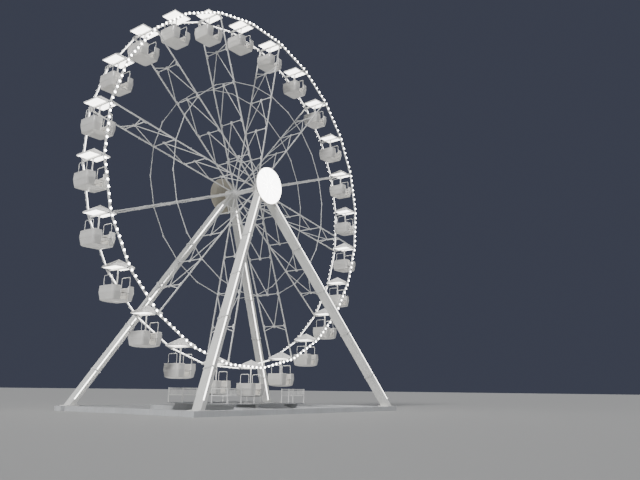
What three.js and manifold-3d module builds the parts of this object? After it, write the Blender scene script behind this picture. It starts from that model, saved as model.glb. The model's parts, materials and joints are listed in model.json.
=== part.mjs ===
import * as THREE from 'three';
import { mergeVertices } from 'three/addons/utils/BufferGeometryUtils.js';
import Module from 'manifold-3d';

const wasm = await Module();
wasm.setup();

// Driving dimensions, mm. The wheel turns about the Y axis through (0, 0, HUB_Z).
const HUB_Z = 18300;
const BAYS = 24;
const PITCH = (2 * Math.PI) / BAYS;
const PHASE = 20.32 * Math.PI / 180;

const RIM_R = 15000;
const RIM_Y = 1230;
const RIM_T = 110;
const TIE_R = 9150;
const TIE_T = 45;
const GAP = 0.6;
const LAP = 20;
const BORE_PLAY = 0.4;
const CHORD_PLAY = 0.5;
const TIE_PLAY = 0.5;
const PIN_SIDES = 6;
const SHAFT_SIDES = 12;
const HEAD_SIDES = 16;
const DISC_SIDES = 32;
const FAR = 20000;

const CHORD_T = 80;
const BRACE_T = 45;
const CHORD_Y0 = 1280;
const FLANGE_R = 380;
const CHORD_R0 = FLANGE_R * Math.cos(PITCH / 2) + CHORD_PLAY;
const STRUT_LEVELS = [3000, 5950, 9150, 12000];
const STRUT_T = 50;
const BRACE_START = 1400;
const BRACE_STEP = 150;
const FLARE_R = 12400;

const BARREL_R = 180;
const FLANGE_LIP = 10;
const SHAFT_R = 160;
const SHAFT_END = 2000;
const BORE_R = (SHAFT_R + BORE_PLAY) / Math.cos(Math.PI / SHAFT_SIDES);
const HEAD_R = 380;
const HEAD_Y = [1420, 2180];
const BORE_END = 2060;
const COLLAR_R = 220;
const DISC_R = 1580;
const DISC_Y = [2612, 2700];

const PIVOT_PIN_R = 36;
const PIN_LONG = 90;
const PIVOT_DEPTH = 115;
const PIVOT_HOLE_R = (PIVOT_PIN_R + BORE_PLAY) / Math.cos(Math.PI / PIN_SIDES);
const BEAM_T = 120;
const BEAM_END = 1090;
const CANOPY_X = 800;
const CANOPY_Y = 770;
const CANOPY_Z = [50, 130, 680];
const APEX = 0.04;
const TUB_X = 910;
const TUB_Y = 845;
const TUB_LEVELS = [[-2310, 0.5], [-2195, 0.9], [-1650, 1], [-1220, 0.97]];
const TUB_WALL = 55;
const TUB_INSIDE = [0.89, 0.99];
const TUB_CORNER = [0.84, 0.952];
const FLOOR_Z = -2165;
const DOOR_X = [-250, 380];
const SILL_H = 12;
const LIP_RISE = 60;
const GATE_BAR_Z = -1710;
const GATE_BAR_T = 34;
const GATE_BAR_LAP = 40;
const SEAT_X = [380, 745];
const SEAT_Y = 680;
const SEAT_Z = -1720;
const BACK_Z = -1290;
const BACK_T = 60;
const HOOP_Y = 480;
const HOOP_Z = -500;
const HOOP_T = 40;
const FOOT_LAP = 15;
const POST_R = 48;

const FOOT_X = 11090;
const FOOT_Y = { near: 7330, far: 6640 };
const LEG_TOP = [120, 1790, HUB_Z - 60];
const LEG_W = 340;
const LEG_D = 760;
const LEG_CUT = [1420, -150];
const LEG_CUT_TILT = 40 * Math.PI / 180;
const GUSSET_Y = [1700, 1800];
const GUSSET_Z = 1150;
const GUSSET_TOP = 330;
const FOOT_PLATE = 500;
const FOOT_T = 50;
const BASE_H = 350;
const BASE_W = 420;
const BASE_REACH = 600;
const SIDE_W = 300;
const DECK_Z = 620;
const DECK_X = 4500;
const DECK_Y = 3300;
const DECK_T = 60;
const BEARER_X = [-3600, 0, 3600];
const BEARER_W = 150;
const PACKER_W = 120;
const PACKER_INSET = 60;
const CROSS_Y = 2600;
const CROSS_W = 100;
const CROSS_Z = [60, 310];
const STEP_X = 1500;
const STEP_RUN = 300;
const STEP_RISE = 200;
const STEPS = 3;

const RAIL_H = 1100;
const RAIL_LEVELS = [560, 1070];
const RAIL_POST = 60;
const RAIL_BAR = 46;
const RAIL_INSET = 80;
const GATE = 1600;
const RAIL_MID = [3000, 1500];

const group = new THREE.Group();
const coat = {
  steel: { color: 0xe9e8e4, metalness: 0.25, roughness: 0.45 },
  shell: { color: 0xf1efe9, metalness: 0, roughness: 0.35 },
  lamp: { color: 0xfdfcf5, metalness: 0, roughness: 0.3 },
  deck: { color: 0x8b8d8f, metalness: 0.3, roughness: 0.7 },
};

// Closed solid from a geometry, and back again.
function solid(geometry) {
  const bare = geometry.clone();
  bare.deleteAttribute('normal');
  bare.deleteAttribute('uv');
  const merged = mergeVertices(bare, 1e-4);
  return new wasm.Manifold(new wasm.Mesh({
    numProp: 3,
    vertProperties: new Float32Array(merged.attributes.position.array),
    triVerts: new Uint32Array(merged.index.array),
  }));
}

function geometryOf(manifold) {
  const mesh = manifold.getMesh();
  const geometry = new THREE.BufferGeometry();
  geometry.setAttribute('position', new THREE.BufferAttribute(new Float32Array(mesh.vertProperties), 3));
  geometry.setIndex(new THREE.BufferAttribute(new Uint32Array(mesh.triVerts), 1));
  return geometry;
}

function fuse(parts) {
  return parts.map(solid).reduce((whole, part) => whole.add(part));
}

function place(name, geometry, kind) {
  const flat = geometry.index ? geometry.toNonIndexed() : geometry;
  flat.computeVertexNormals();
  const mesh = new THREE.Mesh(flat, new THREE.MeshStandardMaterial(coat[kind]));
  mesh.name = name;
  group.add(mesh);
}

// Straight bar of rectangular section; the section's depth points towards `side`.
function bar(a, b, width, depth, side = [0, 0, 1]) {
  const start = new THREE.Vector3(...a);
  const end = new THREE.Vector3(...b);
  const along = end.clone().sub(start);
  const length = along.length();
  along.normalize();
  const across = new THREE.Vector3(...side).cross(along).normalize();
  const deep = along.clone().cross(across);
  const geometry = new THREE.BoxGeometry(width, depth, length);
  geometry.applyMatrix4(new THREE.Matrix4().makeBasis(across, deep, along));
  const middle = start.add(end).multiplyScalar(0.5);
  return geometry.translate(middle.x, middle.y, middle.z);
}

// Round bar along Y with few sides.
function drum(radius, y0, y1, sides) {
  const geometry = new THREE.CylinderGeometry(radius, radius, y1 - y0, sides, 1);
  return geometry.translate(0, (y0 + y1) / 2, 0);
}

function block(x0, x1, y0, y1, z0, z1) {
  const geometry = new THREE.BoxGeometry(x1 - x0, y1 - y0, z1 - z0);
  return geometry.translate((x0 + x1) / 2, (y0 + y1) / 2, (z0 + z1) / 2);
}

// Closed loft through stacked rings of equal point count, with fan caps.
function loft(rings) {
  const count = rings[0].length;
  const points = rings.flat();
  const index = [];
  for (let level = 0; level + 1 < rings.length; level += 1) {
    for (let i = 0; i < count; i += 1) {
      const a = level * count + i;
      const b = level * count + ((i + 1) % count);
      index.push(a, b, b + count, a, b + count, a + count);
    }
  }
  const top = (rings.length - 1) * count;
  for (let i = 1; i + 1 < count; i += 1) {
    index.push(0, i + 1, i, top, top + i, top + i + 1);
  }
  const geometry = new THREE.BufferGeometry();
  geometry.setAttribute('position', new THREE.BufferAttribute(new Float32Array(points.flat()), 3));
  geometry.setIndex(index);
  return geometry;
}

// Polygon ring about Y with a square section, one corner on each bay line.
function polygonRing(radius, y, size) {
  const section = [[-1, -1], [1, -1], [1, 1], [-1, 1]];
  const points = [];
  const index = [];
  const stretch = 1 / Math.cos(PITCH / 2);
  for (let j = 0; j < BAYS; j += 1) {
    const angle = PHASE + j * PITCH;
    for (const [u, v] of section) {
      const r = radius + (u * size * stretch) / 2;
      points.push(r * Math.cos(angle), y + (v * size) / 2, r * Math.sin(angle));
    }
    const next = ((j + 1) % BAYS) * 4;
    for (let k = 0; k < 4; k += 1) {
      const a = j * 4 + k;
      const b = j * 4 + ((k + 1) % 4);
      const c = next + ((k + 1) % 4);
      const d = next + k;
      index.push(a, b, c, a, c, d);
    }
  }
  const geometry = new THREE.BufferGeometry();
  geometry.setAttribute('position', new THREE.BufferAttribute(new Float32Array(points), 3));
  geometry.setIndex(index);
  return geometry;
}

function bayAngle(j) {
  return PHASE + j * PITCH;
}

function bayPoint(j, radius = RIM_R) {
  return [radius * Math.cos(bayAngle(j)), radius * Math.sin(bayAngle(j))];
}

// Rims with the pins that carry the gondolas.
for (const [name, sign] of [['near_rim', -1], ['far_rim', 1]]) {
  const parts = [polygonRing(RIM_R, sign * RIM_Y, RIM_T)];
  const ends = [sign * RIM_Y, sign * (BEAM_END - PIN_LONG)];
  for (let j = 0; j < BAYS; j += 1) {
    const [x, z] = bayPoint(j);
    const pin = drum(PIVOT_PIN_R, Math.min(...ends), Math.max(...ends), PIN_SIDES);
    parts.push(pin.rotateY(Math.PI / PIN_SIDES).translate(x, 0, z));
  }
  const rim = geometryOf(fuse(parts));
  place(name, rim.translate(0, 0, HUB_Z), 'steel');
}

// Tie rings lie against the outer faces of the spoke chords.
const chordY = (r) => CHORD_Y0 + (RIM_Y - CHORD_Y0) * (r / RIM_R);
for (const [name, sign] of [['near_tie_ring', -1], ['far_tie_ring', 1]]) {
  const y = sign * (chordY(TIE_R) + CHORD_T / 2 + TIE_T / 2 + TIE_PLAY);
  place(name, polygonRing(TIE_R, y, TIE_T).translate(0, 0, HUB_Z), 'steel');
}

// Spoke: two chords in a radial plane, cross struts and V braces meeting on the middle line.
function spokeSolid() {
  const mitre = (CHORD_T / 2) * Math.tan(PITCH / 2);
  const outer = RIM_R - RIM_T / 2 / Math.cos(PITCH / 2) - mitre - GAP;
  const parts = [];
  for (const sign of [-1, 1]) {
    const tip = [outer, sign * chordY(outer), 0];
    parts.push(bar([CHORD_R0, sign * chordY(CHORD_R0), 0], tip, CHORD_T, CHORD_T));
    let inner = BRACE_START;
    for (const level of STRUT_LEVELS) {
      parts.push(bar([inner, sign * chordY(inner), 0], [level, 0, 0], BRACE_T, BRACE_T));
      inner = level + BRACE_STEP;
    }
    parts.push(bar([STRUT_LEVELS[3], 0, 0], [FLARE_R, sign * chordY(FLARE_R), 0], BRACE_T, BRACE_T));
  }
  for (const level of STRUT_LEVELS) {
    parts.push(bar([level, -chordY(level), 0], [level, chordY(level), 0], STRUT_T, STRUT_T));
  }
  return geometryOf(fuse(parts));
}
const spoke = spokeSolid();
for (let k = 0; k < BAYS / 2; k += 1) {
  const turned = spoke.clone().rotateY(-bayAngle(2 * k));
  const name = `spoke_${String(k + 1).padStart(2, '0')}`;
  place(name, turned.translate(0, 0, HUB_Z), 'steel');
}

// Hub: barrel, two flanges and the turning shaft ends.
const flange = [chordY(0) - CHORD_T / 2 - FLANGE_LIP, chordY(0) + CHORD_T / 2 + FLANGE_LIP];
const faceSpokes = -(PHASE + PITCH / 2);
const hub = fuse([
  drum(BARREL_R, -flange[0] - LAP, flange[0] + LAP, SHAFT_SIDES),
  drum(FLANGE_R, flange[0], flange[1], BAYS).rotateY(faceSpokes),
  drum(FLANGE_R, -flange[1], -flange[0], BAYS).rotateY(faceSpokes),
  drum(SHAFT_R, -SHAFT_END, SHAFT_END, SHAFT_SIDES).rotateY(Math.PI / SHAFT_SIDES),
]);
const hubGeometry = geometryOf(hub);
place('hub_drum', hubGeometry.translate(0, 0, HUB_Z), 'steel');

// Gondola about its pivot. The tub's plan is a rectangle with rounded corners, as shares of its half sizes.
// Each long wall has a doorway with a gate bar, the far one the near one turned half round.
const [flat, turn] = TUB_CORNER;
const tubPlan = [
  [1, -flat], [1, flat], [turn, turn], [flat, 1], [-flat, 1], [-turn, turn],
  [-1, flat], [-1, -flat], [-turn, -turn], [-flat, -1], [flat, -1], [turn, -turn],
];

function tubSolid(inset, levels) {
  return loft(levels.map(([z, scale]) => tubPlan.map(([u, v]) => [
    u * (TUB_X * scale - inset), v * (TUB_Y * scale - inset), z,
  ])));
}

// Profile of [first, second] pairs drawn out along X (pairs are y, z) or along Y (pairs are z, x).
function prism(profile, axis, from, to) {
  const shape = new THREE.Shape(profile.map(([u, v]) => new THREE.Vector2(u, v)));
  const geometry = new THREE.ExtrudeGeometry(shape, { depth: to - from, bevelEnabled: false });
  geometry.translate(0, 0, from);
  const [ux, uy, uz] = [new THREE.Vector3(1, 0, 0), new THREE.Vector3(0, 1, 0), new THREE.Vector3(0, 0, 1)];
  const basis = new THREE.Matrix4();
  if (axis === 'x') basis.makeBasis(uy, uz, ux);
  if (axis === 'y') basis.makeBasis(uz, ux, uy);
  return geometry.applyMatrix4(basis);
}

// Bench with its back, and the tubular hoop that rises from the back.
function bench(sign) {
  const [front, rear, back] = [sign * SEAT_X[0], sign * SEAT_X[1], sign * (SEAT_X[1] - BACK_T)];
  const low = FLOOR_Z - FOOT_LAP;
  const seat = [
    [low, front], [low, rear], [BACK_Z, rear], [BACK_Z, back], [SEAT_Z, back], [SEAT_Z, front],
  ];
  const [y, top, root] = [HOOP_Y, HOOP_Z, BACK_Z - FOOT_LAP];
  const frame = [
    [-y, root], [-y, top], [y, top], [y, root],
    [y - HOOP_T, root], [y - HOOP_T, top - HOOP_T], [HOOP_T - y, top - HOOP_T], [HOOP_T - y, root],
  ];
  const middle = sign * (SEAT_X[1] - BACK_T / 2);
  const across = [middle - HOOP_T / 2, middle + HOOP_T / 2];
  return [prism(seat, 'y', -SEAT_Y, SEAT_Y), prism(frame, 'x', across[0], across[1])];
}

function gondolaSolid() {
  const lip = TUB_LEVELS[TUB_LEVELS.length - 1][0];
  const inside = [[FLOOR_Z, TUB_INSIDE[0]], [lip + LIP_RISE, TUB_INSIDE[1]]];
  let tub = solid(tubSolid(0, TUB_LEVELS)).subtract(solid(tubSolid(TUB_WALL, inside)));
  const post = new THREE.CylinderGeometry(POST_R, POST_R, -FLOOR_Z, PIN_SIDES, 1).rotateX(Math.PI / 2);
  const extras = [post.translate(0, 0, FLOOR_Z / 2 - LAP)];
  for (const sign of [-1, 1]) {
    extras.push(...bench(sign));
    const [x0, x1] = DOOR_X.map((x) => -sign * x).sort((p, q) => p - q);
    const [y0, y1] = [0, sign * (TUB_Y + LAP)].sort((p, q) => p - q);
    tub = tub.subtract(solid(block(x0, x1, y0, y1, FLOOR_Z + SILL_H, lip + LIP_RISE)));
    const ends = [[x0 - GATE_BAR_LAP, 0, 0], [x1 + GATE_BAR_LAP, 0, 0]];
    extras.push(bar(...ends, GATE_BAR_T, GATE_BAR_T).translate(0, sign * TUB_Y, GATE_BAR_Z));
  }
  const eave = [[CANOPY_X, CANOPY_Y], [-CANOPY_X, CANOPY_Y], [-CANOPY_X, -CANOPY_Y], [CANOPY_X, -CANOPY_Y]];
  const ring = (scale, z) => eave.map(([x, y]) => [x * scale, y * scale, z]);
  extras.push(loft([ring(1, CANOPY_Z[0]), ring(1, CANOPY_Z[1]), ring(APEX, CANOPY_Z[2])]));
  let beam = solid(block(-BEAM_T / 2, BEAM_T / 2, -BEAM_END, BEAM_END, -BEAM_T / 2, BEAM_T / 2));
  for (const y of [-BEAM_END, BEAM_END - PIVOT_DEPTH]) {
    const hole = drum(PIVOT_HOLE_R, y - LAP * (y < 0), y + PIVOT_DEPTH + LAP * (y > 0), PIN_SIDES);
    beam = beam.subtract(solid(hole));
  }
  const whole = extras.map(solid).reduce((sum, part) => sum.add(part), tub.add(beam));
  return geometryOf(whole);
}
const gondola = gondolaSolid();
for (let j = 0; j < BAYS; j += 1) {
  const [x, z] = bayPoint(j);
  const name = `gondola_${String(j + 1).padStart(2, '0')}`;
  place(name, gondola.clone().translate(x, 0, HUB_Z + z), 'shell');
}

// Legs: box columns from the bearing heads down to the corners of the base. Their tops are cut round the
// head, and slope away from it outwards.
function column(sx, side, play) {
  const sy = side === 'near' ? -1 : 1;
  const top = [sx * LEG_TOP[0], sy * LEG_TOP[1], LEG_TOP[2]];
  const foot = [sx * FOOT_X, sy * FOOT_Y[side], 0];
  return solid(bar(top, foot, LEG_W + 2 * play, LEG_D + 2 * play, [0, 1, 0]));
}

const headWrap = (sign) => {
  const ends = [sign * (HEAD_Y[0] - 3 * LAP), sign * DISC_Y[1]].sort((a, b) => a - b);
  return solid(drum(HEAD_R + GAP, ends[0], ends[1], HEAD_SIDES).translate(0, 0, HUB_Z));
};

const legList = [
  ['near_left_leg', -1, 'near'], ['near_right_leg', 1, 'near'],
  ['far_left_leg', -1, 'far'], ['far_right_leg', 1, 'far'],
];
for (const [name, sx, side] of legList) {
  const sy = side === 'near' ? -1 : 1;
  const floor = solid(block(-FAR, FAR, -FAR, FAR, -FAR, BASE_H + GAP));
  const above = block(-FAR, FAR, -FAR, FAR, 0, FAR).rotateX(-sy * LEG_CUT_TILT);
  const mitre = solid(above.translate(0, sy * LEG_CUT[0], HUB_Z + LEG_CUT[1]));
  const leg = column(sx, side, 0).subtract(headWrap(sy)).subtract(mitre).subtract(floor);
  const rise = (BASE_H + FOOT_T) / LEG_TOP[2];
  const px = sx * (FOOT_X - rise * (FOOT_X - LEG_TOP[0]));
  const py = sy * (FOOT_Y[side] - rise * (FOOT_Y[side] - LEG_TOP[1]));
  const plate = block(-FOOT_PLATE, FOOT_PLATE, -FOOT_PLATE, FOOT_PLATE, BASE_H + GAP, BASE_H + FOOT_T);
  place(name, geometryOf(leg.add(solid(plate.translate(px, py, 0)))), 'steel');
}

// Bearing heads where the legs meet, each with a gusset between its legs and a lamp disc outside it.
for (const [side, sign] of [['near', -1], ['far', 1]]) {
  const span = (pair) => pair.map((y) => sign * y).sort((a, b) => a - b);
  const [h0, h1] = span(HEAD_Y);
  const [b0, b1] = span([HEAD_Y[0] - LAP, BORE_END]);
  const [g0, g1] = span(GUSSET_Y);
  const spread = (depth) => LEG_TOP[0] + (depth * (FOOT_X - LEG_TOP[0])) / LEG_TOP[2];
  const [upper, lower] = [spread(GUSSET_TOP), spread(GUSSET_Z)];
  const web = [[-GUSSET_Z, -lower], [-GUSSET_Z, lower], [-GUSSET_TOP, upper], [-GUSSET_TOP, -upper]];
  const gusset = solid(prism(web, 'y', g0, g1).translate(0, 0, HUB_Z));
  const drumHead = solid(drum(HEAD_R, h0, h1, HEAD_SIDES).translate(0, 0, HUB_Z));
  const bore = solid(drum(BORE_R, b0, b1, SHAFT_SIDES).translate(0, 0, HUB_Z));
  const clear = gusset.subtract(column(-1, side, GAP)).subtract(column(1, side, GAP));
  place(`${side}_bearing_head`, geometryOf(drumHead.subtract(bore).add(clear)), 'steel');
  const [d0, d1] = span(DISC_Y);
  const [s0, s1] = span([HEAD_Y[1] + GAP, DISC_Y[0] + LAP]);
  const disc = geometryOf(fuse([drum(DISC_R, d0, d1, DISC_SIDES), drum(COLLAR_R, s0, s1, SHAFT_SIDES)]));
  place(`${side}_hub_disc`, disc.translate(0, 0, HUB_Z), 'lamp');
}

// Base frame of ground beams.
const reach = FOOT_X + BASE_REACH;
for (const [side, sign] of [['near', -1], ['far', 1]]) {
  const y = sign * FOOT_Y[side];
  place(`${side}_base_beam`, block(-reach, reach, y - BASE_W, y + BASE_W, 0, BASE_H), 'steel');
}
const [nearFace, farFace] = [-FOOT_Y.near + BASE_W + GAP, FOOT_Y.far - BASE_W - GAP];
for (const [name, sign] of [['left_base_beam', -1], ['right_base_beam', 1]]) {
  const x = sign * FOOT_X;
  place(name, block(x - SIDE_W, x + SIDE_W, nearFace, farFace, 0, BASE_H), 'steel');
}

// Boarding deck on bearers that run from beam to beam; the middle bearer starts clear of the steps.
const deckUnder = DECK_Z - DECK_T;
const underframe = [];
const packerY = DECK_Y - PACKER_INSET;
for (const x of BEARER_X) {
  const start = x === 0 ? PACKER_INSET / 2 - DECK_Y : nearFace;
  underframe.push(block(x - BEARER_W, x + BEARER_W, start, farFace, 0, BASE_H));
  underframe.push(block(x - PACKER_W, x + PACKER_W, -packerY, packerY, BASE_H - LAP, deckUnder - GAP));
}
for (const y of [-CROSS_Y, CROSS_Y]) {
  underframe.push(block(BEARER_X[0], BEARER_X[2], y - CROSS_W, y + CROSS_W, ...CROSS_Z));
}
place('deck_underframe', geometryOf(fuse(underframe)), 'steel');
place('boarding_deck', block(-DECK_X, DECK_X, -DECK_Y, DECK_Y, deckUnder, DECK_Z), 'deck');

const steps = [];
const stepsEnd = -DECK_Y - GAP;
for (let i = 0; i < STEPS; i += 1) {
  const front = stepsEnd - (STEPS - i) * STEP_RUN;
  steps.push(block(-STEP_X, STEP_X, front, stepsEnd, i ? i * STEP_RISE - LAP : 0, (i + 1) * STEP_RISE));
}
place('boarding_steps', geometryOf(fuse(steps)), 'deck');

function railing(points) {
  const parts = [];
  for (let i = 0; i < points.length; i += 1) {
    const [x, y] = points[i];
    parts.push(bar([x, y, DECK_Z + GAP], [x, y, DECK_Z + RAIL_H], RAIL_POST, RAIL_POST, [1, 0, 0]));
    if (i + 1 < points.length) {
      const [x1, y1] = points[i + 1];
      for (const z of RAIL_LEVELS) {
        parts.push(bar([x, y, DECK_Z + z], [x1, y1, DECK_Z + z], RAIL_BAR, RAIL_BAR, [0, 0, 1]));
      }
    }
  }
  return geometryOf(fuse(parts));
}
const rx = DECK_X - RAIL_INSET;
const ry = DECK_Y - RAIL_INSET;
for (const [name, s] of [['left_railing', -1], ['right_railing', 1]]) {
  place(name, railing([[s * GATE, -ry], [s * RAIL_MID[0], -ry], [s * rx, -ry], [s * rx, -GATE]]), 'steel');
}
const farMiddle = [[-RAIL_MID[1], ry], [RAIL_MID[1], ry]];
place('far_railing', railing([[-rx, GATE], [-rx, ry], ...farMiddle, [rx, ry], [rx, GATE]]), 'steel');

export default group;
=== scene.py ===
import json
import math

import bmesh
import bpy
import numpy as np
from mathutils import Matrix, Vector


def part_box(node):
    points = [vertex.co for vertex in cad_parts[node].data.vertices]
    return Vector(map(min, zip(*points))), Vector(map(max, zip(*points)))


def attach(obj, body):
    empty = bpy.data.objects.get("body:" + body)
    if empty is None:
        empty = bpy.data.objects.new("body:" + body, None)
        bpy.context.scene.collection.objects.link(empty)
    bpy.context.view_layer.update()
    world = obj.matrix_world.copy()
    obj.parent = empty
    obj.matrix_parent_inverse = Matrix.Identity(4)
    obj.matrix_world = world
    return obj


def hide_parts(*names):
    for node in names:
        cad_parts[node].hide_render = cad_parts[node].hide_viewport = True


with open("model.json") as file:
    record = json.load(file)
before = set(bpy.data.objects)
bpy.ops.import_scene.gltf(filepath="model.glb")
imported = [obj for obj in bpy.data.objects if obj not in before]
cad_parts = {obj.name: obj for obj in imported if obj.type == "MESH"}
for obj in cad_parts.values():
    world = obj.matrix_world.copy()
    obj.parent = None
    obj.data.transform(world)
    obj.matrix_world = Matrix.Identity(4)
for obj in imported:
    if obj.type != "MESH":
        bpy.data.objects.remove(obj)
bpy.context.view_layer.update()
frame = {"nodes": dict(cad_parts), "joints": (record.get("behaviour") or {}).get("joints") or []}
nodes = frame["nodes"]
joints = {joint["name"]: joint for joint in frame["joints"]}
hub = np.array(joints["wheel_spin"]["pos_m"], float)
gondolaNames = sorted(name for name in nodes if name.startswith("gondola_"))
pivots = {name: np.array(joints[name + "_hang"]["pos_m"], float) for name in gondolaNames}
firstArm = pivots[gondolaNames[0]] - hub
rimRadius = float(np.linalg.norm(firstArm))
phase = math.atan2(firstArm[2], firstArm[0])
bays = len(gondolaNames)
pitch = 2 * math.pi / bays
print("frame loaded with", len(nodes), "nodes, rim radius", round(rimRadius, 3))


# Shapes are pairs: points (n, 3) and quads (m, 4). Sizes are in metres.

def gridQuads(rows, cols, wrapRows=False, wrapCols=False):
    # Each quad joins a grid point to its next row, next column and the one across
    i, j = np.meshgrid(np.arange(rows if wrapRows else rows - 1),
                       np.arange(cols if wrapCols else cols - 1), indexing="ij")
    below, beside = (i + 1) % rows, (j + 1) % cols
    corners = [i * cols + j, i * cols + beside, below * cols + beside, below * cols + j]
    return np.stack(corners, -1).reshape(-1, 4)


def capQuads(ring):
    # A flat face on a ring with an even number of points, cut into quads from its first point
    ring = np.asarray(ring)
    k = np.arange(1, len(ring) - 2, 2)
    return np.stack([np.full(len(k), ring[0]), ring[k], ring[k + 1], ring[k + 2]], -1)


def ladder(count):
    # Quads across a ring that runs out along one side and back along the other
    i = np.arange(count // 2 - 1)
    return np.stack([i, i + 1, count - 2 - i, count - 1 - i], -1)


def joined(*shapes):
    # Points one after the other, with each shape's quads counted on from the points before it
    counts = np.cumsum([0] + [len(points) for points, quads in shapes[:-1]])
    points = np.concatenate([points for points, quads in shapes])
    quads = np.concatenate([shape[1] + start for shape, start in zip(shapes, counts)])
    return points, quads


def moved(shape, offset):
    return shape[0] + np.asarray(offset, float), shape[1]


def stamped(unit, places, turns=None):
    # Every point of the unit is turned by each 3x3 matrix (columns are its axes) and set at each place
    points, quads = unit
    places = np.asarray(places, float).reshape(-1, 3)
    if turns is None:
        turns = np.eye(3)
    turns = np.broadcast_to(turns, (len(places), 3, 3))
    copies = np.einsum("nij,pj->npi", turns, points) + places[:, None, :]
    shifts = np.arange(len(places))[:, None, None] * len(points)
    return copies.reshape(-1, 3), (quads[None] + shifts).reshape(-1, 4)


def lofted(rings):
    # Quads join each closed ring of points to the next; a flat face closes the first and the last
    rings = np.asarray(rings, float)
    count, sides = rings.shape[:2]
    first = np.arange(sides)
    last = first + (count - 1) * sides
    quads = [gridQuads(count, sides, wrapCols=True), capQuads(first[::-1]), capQuads(last)]
    return rings.reshape(-1, 3), np.concatenate(quads)


def atHeights(flats, heights):
    # Each flat ring of (x, y) points is lifted to its own height
    return [np.column_stack([flat, np.full(len(flat), z)]) for flat, z in zip(flats, heights)]


def circleSection(radius, sides=10):
    angle = np.arange(sides) * 2 * math.pi / sides
    return np.stack([radius * np.cos(angle), radius * np.sin(angle)], -1)


square = np.array([[-1, -1], [1, -1], [1, 1], [-1, 1]])


def boxShape(size, chamfer=0.0, place=(0, 0, 0)):
    # Six faces of a box about the given place; a chamfer draws in the two end faces' edges
    x, y, z = np.asarray(size, float) / 2
    levels = [(-z, 0), (z, 0)]
    if chamfer:
        levels = [(-z, chamfer), (-z + chamfer, 0), (z - chamfer, 0), (z, chamfer)]
    flats = [square * [x - inset, y - inset] for level, inset in levels]
    return moved(lofted(atHeights(flats, [level for level, inset in levels])), place)


def turnedProfile(profile, sides):
    # Each (radius, height) pair goes round the Z axis; both ends are closed flat
    ring = circleSection(1, sides)
    radii, heights = zip(*profile)
    return lofted(atHeights([ring * radius for radius in radii], heights))


def alongY(shape, y=0.0, sign=1):
    # The shape's Z axis laid along +Y or -Y, from the given y
    points, quads = shape
    x, oldY, z = points.T
    return np.stack([x, y + sign * z, oldY], -1), quads


def ringOnY(radius, count, y=0.0):
    # Places round the Y axis at one y
    return np.insert(circleSection(radius, count), 1, y, axis=1)


def swept(path, section, upward):
    # At each path point the section's (a, b) lies at path + a * across + b * up,
    # where across is the tangent crossed with the upward direction
    path = np.asarray(path, float)
    section = np.asarray(section, float)
    tangent = np.gradient(path, axis=0)
    tangent /= np.linalg.norm(tangent, axis=1)[:, None]
    across = np.cross(tangent, np.asarray(upward, float))
    across /= np.linalg.norm(across, axis=1)[:, None]
    up = np.cross(across, tangent)
    return lofted(path[:, None] + section[None, :, :1] * across[:, None] + section[None, :, 1:] * up[:, None])


def smoothLine(points, steps):
    # Catmull-Rom curve through the points, with the same number of steps on every stretch
    p = np.asarray(points, float)
    p = np.concatenate([[2 * p[0] - p[1]], p, [2 * p[-1] - p[-2]]])
    t = (np.arange(steps) / steps)[None, :, None]
    a, b, c, d = p[:-3, None], p[1:-2, None], p[2:-1, None], p[3:, None]
    square, cube = 2 * a - 5 * b + 4 * c - d, 3 * b - a - 3 * c + d
    curve = 0.5 * (2 * b + (c - a) * t + square * t ** 2 + cube * t ** 3)
    return np.concatenate([curve.reshape(-1, p.shape[1]), p[-2:-1]])


def newObject(name, data):
    item = bpy.data.objects.new(name, data)
    bpy.context.scene.collection.objects.link(item)
    return item


def makePiece(name, parts, body, nodesReplaced=(), heightFrom=None, sharpDegrees=38):
    # Parts are (shape, material) pairs, joined in one mesh with a slot for each material
    points, quads = joined(*[shape for shape, material in parts])
    mesh = bpy.data.meshes.new(name)
    mesh.vertices.add(len(points))
    mesh.vertices.foreach_set("co", points.astype(np.float32).ravel())
    mesh.loops.add(quads.size)
    mesh.loops.foreach_set("vertex_index", quads.astype(np.int32).ravel())
    mesh.polygons.add(len(quads))
    mesh.polygons.foreach_set("loop_start", np.arange(0, quads.size, 4, dtype=np.int32))
    materials = list(dict.fromkeys(material for shape, material in parts))
    for material in materials:
        mesh.materials.append(material)
    used = np.concatenate([np.full(len(shape[1]), materials.index(material)) for shape, material in parts])
    mesh.polygons.foreach_set("material_index", used.astype(np.int32))
    if heightFrom is not None:
        attribute = mesh.attributes.new("ownHeight", "FLOAT", "POINT")
        attribute.data.foreach_set("value", (points[:, 2] - heightFrom).astype(np.float32))
    mesh.update(calc_edges=True)
    sheet = bmesh.new()
    sheet.from_mesh(mesh)
    bmesh.ops.recalc_face_normals(sheet, faces=sheet.faces)
    sheet.to_mesh(mesh)
    sheet.free()
    mesh.shade_smooth()
    mesh.set_sharp_from_angle(angle=math.radians(sharpDegrees))
    piece = newObject(name, mesh)
    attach(piece, body)
    if nodesReplaced:
        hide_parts(*nodesReplaced)
    return piece


# Materials

def feed(tree, node, inputs):
    # Each named or numbered input is linked where its value is a socket, and otherwise set
    for name, value in inputs.items():
        if isinstance(value, bpy.types.NodeSocket):
            tree.links.new(value, node.inputs[name])
        else:
            node.inputs[name].default_value = value


def addNode(tree, kind, inputs):
    node = tree.nodes.new("ShaderNode" + kind)
    feed(tree, node, inputs)
    return node


def newMaterial(name, colour, roughness, metallic=0.0):
    material = bpy.data.materials.new(name)
    material.use_nodes = True
    tree = material.node_tree
    shader = tree.nodes["Principled BSDF"]
    feed(tree, shader, {"Base Color": (*colour, 1), "Roughness": roughness, "Metallic": metallic})
    return material, tree, shader


def tinted(colour, factor):
    # The colour times one factor, or times one for each channel
    return tuple(np.multiply(colour, factor))


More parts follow.
